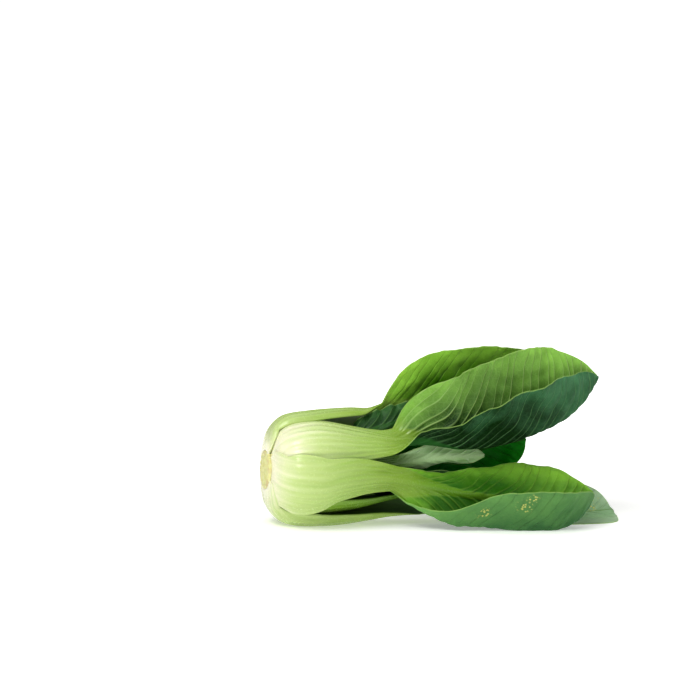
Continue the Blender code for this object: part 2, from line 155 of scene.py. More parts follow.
FRILL_RISE = 7           # a larger exponent keeps them nearer to the margin
NIBBLE = 0.16            # how uneven a margin's outline is
NIBBLE_WAVES = ((11, 6.0), (17, 17.0))  # seed and length of its two sets of waves
NIBBLE_WIDTH = (2.0, 12.0)  # half-width of a leaf over which it grows
BLADE_GROWS = 15.0       # small detail of the margin grows over this distance

# Where the pale stalk and midrib end and the green blade begins.
RIB_HALF = 2.4           # half-width of a midrib's pale band
RIB_LOST = 0.7           # as much of it is gone near the tip
RIB_FADES = (20.0, 110.0)  # distance past the blade's start over which it goes
NECK_IN = 1.5            # the green begins this far inside a stalk's edge
NECK_ENDS = (2.0, 44.0)  # distance past the blade's start over which the stalk ends
GREEN_BEGINS = (-6.0, 14.0)  # and over which the green comes in
GREEN_EDGE = (0.6, 1.25)  # the band's edge blurs over this share of its half-width
SPOT_CORE = 0.4          # share of a spotted patch's radius in which its spots are densest

# Cut stem: x and radius from the middle of its cut face to its thin end inside the head.
STEM_FACE_X = -1.8       # x of the cut face in the solid
STEM = [(-1.8, 0.0), (-1.8, 1.5), (-1.85, 3.0), (-1.8, 4.5), (-1.75, 6.0), (-1.7, 7.5),
        (-1.6, 8.8), (-1.4, 9.8), (-1.0, 10.5), (-0.4, 10.8), (0.4, 10.6), (3.0, 8.6),
        (8.5, 6.2), (14.5, 3.6), (19.5, 1.4), (19.6, 0.0)]
STEM_SIDES = 96
STEM_UNEVEN = ((0.25, 3, 0.6), (0.18, 7, 0.0))  # size, number and phase of the edge's waves
STEM_DENT = (3, 0.18, 3.5)  # seed, depth and length of the cut face's dents

# ---- Resolution ----

SPINE_STEPS = 800        # points along a midrib's curve
SECTION_STEPS = 240      # steps of the sum that bends a section
END_CLUSTER = 0.03       # how much closer the stations are at both ends
QUARTER_CLUSTER = 0.015  # the same, in waves of half the length
COLUMN_POWER = 1.15      # a larger exponent draws columns towards the midrib
MARGIN_COLUMNS = (0.955, 0.97, 0.981, 0.989, 0.9955, 1.0)  # those that round the edge off
SHARE_LEAST = 0.05       # nearest to the midrib that a width is worked out from its share


@dataclass
class Leaf:
    """One leaf. Pairs hold the two sides: first towards smaller angles, then larger."""

    name: str
    angle: float                     # where it leaves the stem, degrees round the head
    inset: float                     # depth of its layer under the outermost stalks
    path: list                       # midrib points (x, y, z) past the belly
    look: str                        # key of LOOKS
    width: tuple = (30.0, 30.0)      # greatest half-width of the blade
    start: tuple = (80.0, 80.0)      # x at which each side of the blade begins
    widest: tuple = (0.5, 0.5)       # place of the greatest width along the blade
    round_base: tuple = (0.0, 0.0)   # 0 for a wedge at the blade's base, 1 for a lobe
    girth: tuple = (1.0, 1.0)        # width of the stalk over that of STALK
    waist: tuple = (0.0, 0.0)        # share of the stalk's width that it loses past the belly
    wrap: tuple = (12.0, 12.0)       # how much further it reaches round the stem, degrees
    tuck: float = 0.0                # how much deeper its base sits than its layer's
    lip: tuple = (0.0, 0.0)          # how far the stalk's edges curl inwards, degrees
    twist: tuple = (0.0, 80.0, 120.0)        # degrees, and the x range that it grows over
    fold: tuple = (0.0, 0.0)         # outward fold at the midrib, degrees
    fold_x: tuple = (80.0, 110.0)    # x range that the fold grows over
    cup: tuple = (25.0, 25.0)        # inward curl from midrib to margin, degrees
    flap: tuple = (0.0, 80.0, 120.0)  # outward fold of the first side's outer part, and x range
    flap_at: tuple = (0.85, 0.45, 80.0, 120.0)  # its place as a share of the width, and x range
    wave: tuple = (1.2, 27.0, 0.0)   # margin waves: height, length, phase
    tip: tuple = (2.6, 0.55)         # exponents of the tip: a larger first one is blunter
    stations: int = 230              # rows of points along the leaf
    columns: int = 52                # rows of points across each half
    spots: tuple = ()                # patches of small spots: (along, across, radius)


def smoothstep(value, low, high):
    share = np.clip((value - low) / (high - low), 0.0, 1.0)
    return share * share * (3.0 - 2.0 * share)


def curve_through(points, samples):
    """Positions evenly spaced in parameter on a smooth curve through the points."""
    points = np.asarray(points, float)
    chord = np.linalg.norm(np.diff(points, axis=0), axis=1) ** 0.5
    knots = np.concatenate([[0.0], np.cumsum(chord)])
    slope = np.gradient(points, knots, axis=0)
    at = np.linspace(0.0, knots[-1], samples)
    span = np.clip(np.searchsorted(knots, at, side="right") - 1, 0, len(chord) - 1)
    size = (knots[span + 1] - knots[span])[:, None]
    t = (at[:, None] - knots[span][:, None]) / size
    return ((2 * t**3 - 3 * t**2 + 1) * points[span] + (t**3 - 2 * t**2 + t) * size * slope[span]
            + (3 * t**2 - 2 * t**3) * points[span + 1] + (t**3 - t**2) * size * slope[span + 1])


def round_axis(angle):
    """Unit vectors away from the axis and round it, at an angle in degrees."""
    turn = np.radians(np.asarray(angle, float))
    zero = np.zeros_like(turn)
    away = np.stack([zero, -np.cos(turn), np.sin(turn)], -1)
    around = np.stack([zero, np.sin(turn), np.cos(turn)], -1)
    return away, around


def stalk_rows(leaf):
    """STALK shrunk towards the belly point for this leaf's layer."""
    scale = 1.0 - leaf.inset / BELLY_R
    rows = STALK.copy()
    rows[:, 0] = BELLY_X + (rows[:, 0] - BELLY_X) * scale
    rows[:, 0] += leaf.tuck * (1.0 - smoothstep(STALK[:, 0], *TUCK_X))
    rows[:, 1:3] *= scale
    rows[:, 3] *= 1.0 - LAYER_THIN * (1.0 - scale)
    return rows


def spine_of(leaf):
    """Points of the leaf's midrib, evenly spaced along it, and their distance along it."""
    rows = stalk_rows(leaf)[:BELLY_ROWS]
    away = round_axis(leaf.angle)[0]
    stalk = rows[:, :1] * np.array([1.0, 0.0, 0.0]) + rows[:, 1:2] * away
    dense = curve_through(np.vstack([stalk, leaf.path]), SPINE_STEPS * 4)
    along = np.concatenate([[0.0], np.cumsum(np.linalg.norm(np.diff(dense, axis=0), axis=1))])
    even = np.linspace(0.0, along[-1], SPINE_STEPS)
    return at_distances(dense, along, even), even


def at_distances(points, distance, wanted):
    """Points of a line at the wanted distances along it."""
    return np.stack([np.interp(wanted, distance, points[:, k]) for k in range(3)], -1)


def blade_outline(leaf, side, share):
    """Half-width of a blade, as a share of its greatest, from its base to its tip."""
    widest = leaf.widest[side]
    lobe = leaf.round_base[side]
    rise = np.clip(share / widest, 0.0, 1.0)
    wedge = rise * rise * (3.0 - 2.0 * rise)
    round_start = np.sqrt(1.0 - (1.0 - rise) ** 2)
    fall = np.clip((share - widest) / (1.0 - widest), 0.0, 1.0)
    tip = (1.0 - fall ** leaf.tip[0]) ** leaf.tip[1]
    return np.where(share < widest, (1.0 - lobe) * wedge + lobe * round_start, tip)


def half_width(leaf, side, x, along):
    """Half of the leaf's width on one side, at stations along the midrib."""
    rows = stalk_rows(leaf)
    total = along[-1]
    radius = np.interp(x, rows[:, 0], rows[:, 1])
    wrap = math.radians(leaf.wrap[side]) * (1.0 - smoothstep(x, *WRAP_X))
    girth = leaf.girth[side] * (1.0 - leaf.waist[side] * smoothstep(x, *WAIST_X))
    stalk = np.interp(x, rows[:, 0], rows[:, 2]) * girth + wrap * radius
    stalk *= 1.0 - STALK_LOST * smoothstep(along, STALK_NARROWS * total, total)
    begin = np.interp(leaf.start[side], x, along)
    share = np.clip((along - begin) / (total - begin), 0.0, 1.0)
    blade = leaf.width[side] * blade_outline(leaf, side, share)
    joined = (stalk**WIDTH_BLEND + blade**WIDTH_BLEND) ** (1.0 / WIDTH_BLEND)
    return np.maximum(joined, TIP_HALF_WIDTH)


def bend_across(leaf, side, x, width, across):
    """Angle of the section against the midrib's own plane, inwards, at distances across."""
    rows = stalk_rows(leaf)
    start = leaf.start[side]
    radius = np.interp(x, rows[:, 0], rows[:, 1])[:, None]
    blade = smoothstep(x, CURL_FROM * start, start + CURL_OVER)[:, None]
    share = across / width[:, None]
    arc = across / radius * (1.0 - blade) + np.radians(leaf.cup[side]) * share * blade
    fold = -math.radians(leaf.fold[side]) * smoothstep(x, *leaf.fold_x)[:, None]
    lip = math.radians(leaf.lip[side]) * smoothstep(share, *LIP_SHARE) * (1.0 - blade)
    bend = arc + lip + fold * smoothstep(across, 0.0, FOLD_SOFT)
    if side == 0 and leaf.flap[0]:
        first, last, low, high = leaf.flap_at
        place = (first + (last - first) * smoothstep(x, low, high))[:, None]
        turn = math.radians(leaf.flap[0]) * smoothstep(x, *leaf.flap[1:])[:, None]
        bend = bend - turn * smoothstep(share, place - CREASE[0], place + CREASE[1])
    return bend


def thickness_of(leaf, x, along, width, across):
    """Thickness of the leaf at distances across from the midrib, rounded off at its edge."""
    rows = stalk_rows(leaf)
    start = min(leaf.start)
    middle = np.interp(x, rows[:, 0], rows[:, 3])[:, None]
    blade = smoothstep(x, THIN_FROM * start, start + THIN_OVER)[:, None]
    share = np.clip(across / width[:, None], 0.0, 1.0)
    stalk = STALK_EDGE + (middle - STALK_EDGE) * (1.0 - share**2)
    fade = smoothstep(along, MIDRIB_THINS * along[-1], along[-1])[:, None]
    rib = middle * (1.0 - fade) * MIDRIB_SHARE + MIDRIB_TIP * fade
    lamina = BLADE + np.maximum(rib - BLADE, 0.0) * np.exp(-((across / MIDRIB_W) ** 2))
    thick = stalk * (1.0 - blade) + lamina * blade
    from_edge = np.clip((width[:, None] - across) / (0.5 * thick), 0.0, 1.0)
    return thick * np.maximum(np.sqrt(1.0 - (1.0 - from_edge) ** 2), ROUND_LEAST)


def section(leaf, side, x, width, share):
    """Half sections: distance out from the midrib, drop inwards, and angle, at each share."""
    steps = np.linspace(0.0, 1.0, SECTION_STEPS + 1)[None, :] * width[:, None]
    bend = bend_across(leaf, side, x, width, steps)
    middle = 0.5 * (bend[:, 1:] + bend[:, :-1])
    step = np.diff(steps, axis=1)
    start = np.zeros((len(x), 1))
    out = np.concatenate([start, np.cumsum(np.cos(middle) * step, axis=1)], axis=1)
    inward = np.concatenate([start, np.cumsum(np.sin(middle) * step, axis=1)], axis=1)
    place = share[0] * SECTION_STEPS
    low = np.minimum(place.astype(int), SECTION_STEPS - 1)
    part = place - low
    return [line[:, low] * (1.0 - part) + line[:, low + 1] * part for line in (out, inward, bend)]


def margin_wave(leaf, side, x, along, share):
    """How far the waved margin stands off the blade's plain form."""
    height, length, phase = leaf.wave
    start = leaf.start[side]
    swing = np.sin(2.0 * math.pi * along / length + phase + SIDE_PHASE * side)
    swing *= height * smoothstep(x, start + WAVE_X[0], start + WAVE_X[1])
    drift = FRILL_DRIFT[0] * np.sin(along / FRILL_DRIFT[1])
    small = np.sin(2.0 * math.pi * along / FRILL_LENGTH + drift + FRILL_PHASE * side)
    small *= FRILL * smoothstep(x, start, start + BLADE_GROWS)
    return swing[:, None] * share**WAVE_RISE + small[:, None] * share**FRILL_RISE


def press_on_floor(sheet, thick):
    """Where a leaf would sink under the resting surface it lies flat on it instead."""
    low = FLOOR + 0.5 * thick
    above = sheet[..., 2] - low
    blend = (np.clip(above, -SOFT, SOFT) + SOFT) ** 2 / (4.0 * SOFT)
    sheet[..., 2] = low + np.where(above > SOFT, above, blend)
    return sheet


def unit(vectors):
    return vectors / np.maximum(np.linalg.norm(vectors, axis=-1, keepdims=True), 1e-9)


def unit_normals(sheet):
    return unit(np.cross(np.gradient(sheet, axis=0), np.gradient(sheet, axis=1)))


def ripples(first, second, seed, length):
    """Smooth random heights of about -1 to 1 over two coordinates, with waves of one length."""
    rng = np.random.default_rng(seed)
    total = np.zeros(np.broadcast(first, second).shape)
    waves = 7
    for turn, shift, stretch in rng.random((waves, 3)):
        wave = 2.0 * math.pi / (length * (0.7 + 0.6 * stretch))
        way = first * math.cos(math.pi * turn) + second * math.sin(math.pi * turn)
        total += np.sin(wave * way + 2.0 * math.pi * shift)
    return total / math.sqrt(waves)


class LeafGrid:
    """The fine grid of one leaf: its middle surface and what its faces and colours need."""

    def __init__(self, leaf):
        self.leaf = leaf
        self.seed = sum(ord(letter) for letter in leaf.name)
        self.spine, self.distance = spine_of(leaf)
        even = np.linspace(0.0, 1.0, leaf.stations)
        ends = END_CLUSTER * np.sin(2 * math.pi * even)
        quarters = QUARTER_CLUSTER * np.sin(4 * math.pi * even)
        self.along = self.distance[-1] * (even - ends - quarters)
        inner = np.linspace(0.0, 1.0, leaf.columns)[1:] ** COLUMN_POWER * MARGIN_COLUMNS[0]
        half = np.concatenate([inner, MARGIN_COLUMNS[1:]])
        self.columns = np.concatenate([-half[::-1], [0.0], half])
        self.point = self.on_spine(self.spine)
        self.x = self.point[:, 0]
        self.around, self.away = self.directions()
        shape = (len(self.along), len(self.columns))
        self.sheet = np.empty((*shape, 3))
        self.thick = np.empty(shape)
        self.across = np.empty(shape)
        self.share = np.broadcast_to(np.abs(self.columns), shape)
        self.ahead = np.empty(shape)
        self.phase = np.empty(shape)
        self.rate = np.empty(shape)
        for side, sign in ((0, -1.0), (1, 1.0)):
            self.fill_side(side, sign)
        width = np.abs(self.across) / np.maximum(self.share, SHARE_LEAST)
        self.edge = (1.0 - self.share) * width

    def fill_side(self, side, sign):
        """The grid's values on one side of the midrib."""
        leaf = self.leaf
        chosen = self.columns * sign >= 0
        share = np.abs(self.columns[chosen])[None, :]
        whole = half_width(leaf, side, self.spine[:, 0], self.distance)
        width = np.interp(self.along, self.distance, whole)
        width = width + self.nibbles(side, width)
        out, inward, bend = section(leaf, side, self.x, width, share)
        wave = margin_wave(leaf, side, self.x, self.along, share)
        out = out + wave * np.sin(bend)
        inward = inward - wave * np.cos(bend)
        self.sheet[:, chosen] = (self.point[:, None] + sign * out[..., None] * self.around[:, None]
                                 - inward[..., None] * self.away[:, None])
        across = share * width[:, None]
        self.across[:, chosen] = sign * across
        self.thick[:, chosen] = thickness_of(leaf, self.x, self.along, width, across)
        begin = np.interp(leaf.start[side], self.spine[:, 0], self.distance)
        ahead = (self.along - begin)[:, None] + 0.0 * across
        self.ahead[:, chosen] = ahead
        length = self.distance[-1] - begin
        self.phase[:, chosen], self.rate[:, chosen] = self.vein_phase(side, ahead, across, length)

    def on_spine(self, values):
        """Values given along the midrib's curve, at every station."""
        return at_distances(values, self.distance, self.along)

    def directions(self):
        """Unit vectors across the leaf and away from its inner face, at every station."""
        tangent = unit(self.on_spine(np.gradient(self.spine, self.distance, axis=0)))
        turn, low, high = self.leaf.twist
        angle = self.leaf.angle + turn * smoothstep(self.x, low, high)
        around = round_axis(angle)[1]
        lean = np.sum(around * tangent, axis=1, keepdims=True)
        around = unit(around - (1.0 - UPRIGHT) * lean * tangent)
        away = unit(np.cross(tangent, around))
        arc = smoothstep(self.x, *ARC_X)[:, None]
        return around, unit(away * arc + round_axis(angle)[0] * (1.0 - arc))

    def nibbles(self, side, width):
        """Small unevenness of the blade's outline."""
        start = self.leaf.start[side]
        rough = sum(ripples(self.along, np.zeros(1), self.seed + seed + side, length)
                    for seed, length in NIBBLE_WAVES)
        blade = smoothstep(self.x, start, start + BLADE_GROWS)
        return NIBBLE * blade * rough * smoothstep(width, *NIBBLE_WIDTH)

    def vein_phase(self, side, ahead, across, length):
        """Count of side veins at each point, whole on a vein, and its change per millimetre."""
        from_rib = np.maximum(across, VEIN_LEAST)
        reach = from_rib**VEIN_BEND
        forward = np.exp(-np.maximum(ahead, 0.0) / (SLANT_FALL * length))
        slant = VEIN_SLANT * (VEIN_SLANT_TIP + (1.0 - VEIN_SLANT_TIP) * forward)
        slant = slant * (1.0 + np.maximum(-ahead, 0.0) / VEIN_GATHER)
        phase = (ahead - slant * reach) / VEIN_SPACING + VEIN_STAGGER * side
        uneven, turn = VEIN_UNEVEN
        phase += uneven * np.sin(turn * phase + self.seed)
        wander, wander_length = VEIN_WANDER
        phase += wander * ripples(ahead, across, self.seed + side, wander_length)
        down = np.gradient(phase, self.along, axis=0)
        out = VEIN_BEND * slant * reach / from_rib / VEIN_SPACING
        return phase, np.hypot(down, out)

    def leafy(self):
        """1 on the blade, 0 on the stalk and on the midrib, with the change between them."""
        rows = stalk_rows(self.leaf)
        stalk = np.interp(self.x, rows[:, 0], rows[:, 2])[:, None] * min(self.leaf.girth)
        rib = RIB_HALF * (1.0 - RIB_LOST * smoothstep(self.ahead, *RIB_FADES))
        rib = rib + (stalk - NECK_IN) * (1.0 - smoothstep(self.ahead, *NECK_ENDS))
        begun = smoothstep(self.ahead, *GREEN_BEGINS)
        return begun * smoothstep(np.abs(self.across) / rib, *GREEN_EDGE)

    def faces(self):
        """Points of the inner and the outer face."""
        along = self.along[:, None]
        blade = smoothstep(self.ahead, *RELIEF_X)
        calm = smoothstep(self.edge, 0.0, CALM_EDGE)
        veined = (1.0 - smoothstep(self.rate, *VEIN_CROWD)) * blade * calm
        veined *= 1.0 - RELIEF_THINS * self.share
        from_vein = np.abs(self.phase - np.round(self.phase)) / self.rate
        vein = np.exp(-((from_vein / VEIN_HALF) ** 2)) * veined
        between = (0.5 - 0.5 * np.cos(2.0 * math.pi * self.phase)) * veined
        dimple = sum(ripples(along, self.across, self.seed + seed, length)
                     for seed, length in DIMPLE_WAVES)
        lift = DIMPLE * dimple * blade * calm * smoothstep(np.abs(self.across), *DIMPLE_ACROSS)
        lift -= PUCKER * between
        seed, size, length = RIB_WANDER
        wander = size * ripples(along, self.across, self.seed + seed, length)
        rib = np.cos(2.0 * math.pi * STALK_RIBS * self.share + wander)
        rib *= smoothstep(along, *STALK_RIB_ALONG)
        ribbed = STALK_RIB * (rib - 1.0) * (1.0 - blade) * calm
        sheet = self.sheet + unit_normals(self.sheet) * lift[..., None]
        middle = press_on_floor(sheet, self.thick)
        normal = unit_normals(middle)
        outer = 0.5 * self.thick + VEIN_HEIGHT * vein + ribbed
        inner = 0.5 * self.thick - VEIN_SINK * vein
        faces = [middle - normal * inner[..., None], middle + normal * outer[..., None]]
        for face in faces:
            face[..., 2] = np.maximum(face[..., 2], FLOOR)
        return faces

    def spotted(self):
        """1 inside the leaf's patches of spots, 0 outside them."""
        inside = np.zeros_like(self.across)
        for along, across, radius in self.leaf.spots:
            gap = np.hypot(self.along[:, None] - along, self.across - across)
            inside = np.maximum(inside, 1.0 - smoothstep(gap, SPOT_CORE * radius, radius))
        return inside


def plain_path(angle, start, end):
    """A straight midrib: start and end are (x, distance from the axis)."""
    away = round_axis(angle)[0]
    path = []
    for share in np.linspace(0.0, 1.0, 4):
        x = start[0] + (end[0] - start[0]) * share
        r = start[1] + (end[1] - start[1]) * share
        path.append((x, *(away[1:] * r)))
    return path


LEAVES = [
    Leaf("leaf_01", -117.5, 0.0,
         [(45, 12, -25.5), (75, 11, -23.5), (105, 12, -25.0), (140, 16, -27.5), (172, 19, -30),
          (208, 20, -28)], "low",
         width=(25, 31), start=(84, 84), widest=(0.60, 0.64), girth=(1.0, 1.29), wrap=(8, 33),
         lip=(0, 24), twist=(8, 70, 110), cup=(30, 26), wave=(1.2, 31, 0.4), tip=(6.0, 0.45),
         spots=((208, -4, 5), (213, -9, 4))),
    Leaf("leaf_02", 105.0, 0.0,
         [(45, 7.5, 30.6), (68, 9.5, 31), (95, 13, 37), (120, 15, 41.5), (145, 16, 45),
          (168, 17, 49), (186, 17, 54)], "back",
         width=(29, 30), start=(66, 76), widest=(0.3, 0.45), round_base=(1.0, 0.3),
         girth=(0.6, 1.0), waist=(0.08, 0.0), wrap=(20, 10), lip=(48, 0), fold=(64, 0),
         fold_x=(52, 70), cup=(12, 30), wave=(0.5, 34, 0.0), tip=(2.1, 0.7)),
    Leaf("leaf_03", -14.5, 0.6,
         [(36, -27.8, -5.0), (52, -24, -3.4), (72, -20.8, -4.6), (90, -22, -8),
          (108, -24.5, -11.5), (126, -25, -13.5), (147, -25, -14.5), (166, -23, -14),
          (183, -20, -13.5)], "front",
         width=(49, 28), start=(65, 62), widest=(0.73, 0.70), round_base=(0.5, 0.3),
         girth=(0.84, 0.86), waist=(0.42, 0.2), wrap=(4, 24), tuck=0.6, fold=(26, -56),
         fold_x=(62, 88), cup=(5, 24), flap=(142, 56, 70), flap_at=(0.90, 0.38, 66, 130),
         wave=(0.7, 30, 0.0), tip=(1.9, 0.65),
         spots=((128, -28, 5), (149, -37, 6), (153, -43, 4))),
    Leaf("leaf_04", 190.0, 4.5,
         [(48, 22, -4), (78, 18, -1), (100, 22, 2), (122, 25.5, 5.5), (140, 27, 9.5),
          (157, 27, 12.5)], "deep",
         width=(19, 19), start=(66, 76), round_base=(0.4, 0.0), girth=(1.3, 1.0),
         cup=(30, 30), wave=(1.2, 28, 1.0), tip=(3.5, 0.5), stations=150, columns=34),
    Leaf("leaf_05", 52.5, 3.8,
         [(50, -13.5, 17.8), (70, -12, 16), (88, -12, 16.2), (108, -13, 13.8), (130, -14, 16),
          (148, -14, 21.5), (166, -13, 29.5), (178, -10, 39), (188, -5, 51.5)], "top",
         width=(34, 46), start=(70, 70), widest=(0.55, 0.54), round_base=(0.35, 1.0),
         girth=(0.9, 1.02), waist=(0.0, -0.12), wrap=(4, 16), tuck=-1.4, fold=(96, 50),
         fold_x=(64, 84), cup=(2, 4), wave=(1.2, 29, 0.0)),
    Leaf("leaf_06", -85.0, 7.0,
         [(48, -1.8, -20.5), (75, -1, -15.5), (100, 0, -15.5), (125, 0, -15.5),
          (150, 2, -13)], "shade",
         width=(12, 14), start=(72, 72), cup=(20, 20), stations=120, columns=26),
    Leaf("leaf_07", 137.5, 9.5,
         [(48, 13.3, 12.3), (72, 12, 11.5), (95, 12, 17), (120, 13, 25), (146, 15, 31)], "deep",
         width=(13, 9), start=(70, 70), girth=(0.75, 1.0), twist=(-25, 70, 100), cup=(25, 15),
         stations=120, columns=26),
    Leaf("leaf_08", 0.0, 9.0,
         [(48, -17.5, 1.5), (68, -12.5, 3.5), (84, -10, 5.8), (102, -9, 7.3),
          (122, -8.5, 7.8)], "pale",
         width=(5.5, 8), start=(62, 62), girth=(0.8, 0.8), fold=(-40, 0), fold_x=(60, 80),
         cup=(20, 10), stations=130, columns=26),
    Leaf("leaf_09", -137.5, 12.0,
         [(48, 12, -11), (70, 10, -9), (92, 10.5, -7.5), (110, 12, -7), (128, 13, -6)], "deep",
         width=(9, 9), start=(66, 66), stations=110, columns=22),
    Leaf("leaf_10", 85.0, 13.5,
         [(38, -0.8, 16), (50, -0.2, 18.2), (62, 0.4, 21.2), (74, 1.2, 25), (86, 1.6, 29),
          (96, 2.2, 33)], "heart",
         width=(8, 11), start=(46, 38), widest=(0.5, 0.45), round_base=(0.5, 0.6),
         girth=(0.7, 0.5), twist=(-84, 32, 60), wave=(2.3, 9.5, 0.0), stations=150, columns=26),
    Leaf("leaf_11", -52.5, 14.6, plain_path(-52.5, (45, 12.5), (106, 6.0)), "heart",
         width=(18, 9), start=(46, 52), round_base=(0.5, 0.0), stations=90, columns=18),
    Leaf("leaf_12", 170.0, 16.0, plain_path(170.0, (45, 11.0), (90, 6.0)), "heart",
         width=(6, 6), start=(55, 55), stations=90, columns=18),
    Leaf("leaf_13", 32.5, 19.0, plain_path(32.5, (42, 8.5), (78, 4.5)), "heart",
         width=(5, 5), start=(50, 50), stations=80, columns=16),
    Leaf("leaf_14", -105.0, 21.0, plain_path(-105.0, (40, 7.0), (64, 4.0)), "heart",
         width=(4, 4), start=(46, 46), stations=80, columns=16),
]

# ---- Colours ----


def srgb(red, green, blue):
    """Linear colour of a screen colour from 0 to 255."""
    shares = [value / 255.0 for value in (red, green, blue)]
    linear = [s / 12.92 if s <= 0.04045 else ((s + 0.055) / 1.055) ** 2.4 for s in shares]
    return (*linear, 1.0)


@dataclass
class Face:
    """Colours and finish of one face of a blade."""

    dark: tuple              # its tones vary between a dark and a light one
    light: tuple
    vein: tuple
    rib: tuple
    rough: float = 0.48      # roughness
    shown: float = 0.5       # how plain its veins are
    base: float = 0.3        # how much lighter it begins, as a share from dark to light
    edge: float = 0.45       # how much lighter it is towards the margin: painted sheen
    tip: float = 0.35        # and towards the tip: painted sheen


@dataclass
class Look:
    """Colours of one kind of leaf."""

    outer: Face
    inner: Face
    ripe: float = 1.0        # a larger one brings the stalk's green nearer to its base
    shaded: bool = False     # its stalk takes the darker STALK_SHADED on both faces: painted shade


LOOKS = {
    "top": Look(
        Face(srgb(22, 68, 4), srgb(148, 198, 86), srgb(170, 202, 124), srgb(104, 146, 50),
             rough=0.5, shown=0.8, base=0.35),
        # Painted sheen: this inner face grows towards its light tone along the blade, for the sheen on
        # it.
        Face(srgb(0, 44, 0), srgb(96, 160, 112), srgb(112, 158, 104), srgb(44, 98, 40),
             rough=0.42, base=-0.35, edge=0.0),
        ripe=0.8),
    "back": Look(
        Face(srgb(78, 128, 40), srgb(112, 156, 62), srgb(176, 204, 130), srgb(140, 176, 80)),
        Face(srgb(78, 140, 0), srgb(172, 224, 90), srgb(156, 200, 90), srgb(150, 188, 80),
             rough=0.42, shown=0.25, base=0.5),
        ripe=1.5),
    "front": Look(
        Face(srgb(50, 114, 0), srgb(138, 192, 58), srgb(160, 196, 86), srgb(106, 150, 40),
             rough=0.45, shown=0.22),
        Face(srgb(74, 122, 74), srgb(124, 172, 98), srgb(130, 174, 104), srgb(120, 160, 80),
             rough=0.5, shown=0.12, base=1.1, tip=-0.25),
        ripe=1.15),
    "low": Look(
        Face(srgb(66, 116, 44), srgb(108, 152, 70), srgb(176, 204, 130), srgb(130, 166, 74)),
        # Painted sheen: the pale grey-green tones of this inner face.
        Face(srgb(140, 180, 132), srgb(188, 214, 180), srgb(166, 194, 150), srgb(128, 164, 110),
             rough=0.45, shown=0.3),
        ripe=1.65),
    "deep": Look(
        Face(srgb(54, 106, 26), srgb(96, 148, 56), srgb(150, 186, 104), srgb(130, 166, 74)),
        Face(srgb(0, 134, 0), srgb(16, 156, 4), srgb(60, 124, 40), srgb(40, 110, 20),
             rough=0.36, shown=0.35)),
    # Painted shade: dark greens for leaf_06, which lies in shadow between the outer stalks.
    "shade": Look(
        Face(srgb(54, 108, 16), srgb(88, 142, 40), srgb(110, 152, 70), srgb(112, 152, 58)),
        Face(srgb(2, 60, 0), srgb(18, 84, 6), srgb(60, 112, 40), srgb(50, 100, 28),
             rough=0.4, shown=0.4),
        shaded=True),
    "pale": Look(
        Face(srgb(138, 176, 116), srgb(184, 212, 164), srgb(196, 216, 176), srgb(168, 196, 146)),
        Face(srgb(40, 88, 36), srgb(70, 120, 56), srgb(120, 160, 98), srgb(110, 150, 80),
             rough=0.4, shown=0.4),
        shaded=True),
    # Painted shade: dark greens for the small heart leaves, which lie in shadow inside the head.
    "heart": Look(
        Face(srgb(16, 66, 14), srgb(64, 116, 56), srgb(110, 152, 88), srgb(56, 104, 44)),
        Face(srgb(8, 58, 6), srgb(34, 92, 22), srgb(80, 130, 60), srgb(44, 96, 30),
             rough=0.4, shown=0.4),
        shaded=True),
}

# Colours of a stalk by progress: 0 at the stem, 1 where the blade begins.
STALK_OUTSIDE = [
    (0.0, srgb(246, 243, 218)),
    (0.13, srgb(240, 240, 208)),
    (0.36, srgb(202, 219, 152)),
    (0.68, srgb(174, 199, 116)),
    (0.88, srgb(160, 188, 94)),
    (1.05, srgb(138, 169, 66)),
]
# Painted shade: the inner face of a stalk is darker and greener than its outside, for the shaded hollow
# between the layers.
STALK_INSIDE = [
    (0.0, srgb(236, 238, 190)),
    (0.13, srgb(204, 222, 134)),
    (0.36, srgb(146, 178, 68)),
    (0.68, srgb(104, 140, 42)),
    (0.88, srgb(92, 130, 32)),
    (1.05, srgb(80, 122, 22)),
]
# Painted shade: darker green stalks for leaves that lie in shadow inside the head.
STALK_SHADED = [
    (0.0, srgb(226, 232, 170)),
    (0.13, srgb(186, 208, 118)),
    (0.36, srgb(144, 178, 74)),
    (0.68, srgb(124, 162, 58)),
    (0.88, srgb(108, 146, 44)),
    (1.05, srgb(86, 126, 32)),
]
STALK_END = 1.6          # progress at which a stalk's colours end
STREAK = srgb(150, 192, 70)
MARGIN = srgb(160, 192, 110)
SPOT = srgb(206, 204, 120)
CUT_FACE = (srgb(246, 246, 190), srgb(236, 234, 156))
CUT_RIM = srgb(226, 208, 160)
STAIN = srgb(158, 118, 84)
WHITE = srgb(246, 246, 244)

# Patterns on a leaf, in repeats per millimetre, along and across it where there are two.
FIBRES = (0.016, 0.45, 1.0)
BANDS = (0.010, 0.30, 1.0)
WIDE_NET = (0.20, 0.26, 0.0)
FINE_NET = (0.62, 0.70, 0.0)
CLOUD = 0.07
GRAIN = 1.1
SPOTS = 0.5
SPOT_GROUPS = 0.35
SPOT_RADIUS = (0.22, 0.36)  # a spot fades between these shares of the spots' spacing
RIB_OUTSIDE = (1.05, 1.5)  # progress over which a stalk takes on its midrib's colour
RIB_INSIDE = (0.8, 1.1)
OUTER_GLOSS = (0.2, 0.4)  # roughness of the stalk, and specular level of the whole face
INNER_GLOSS = (0.55, 0.15)


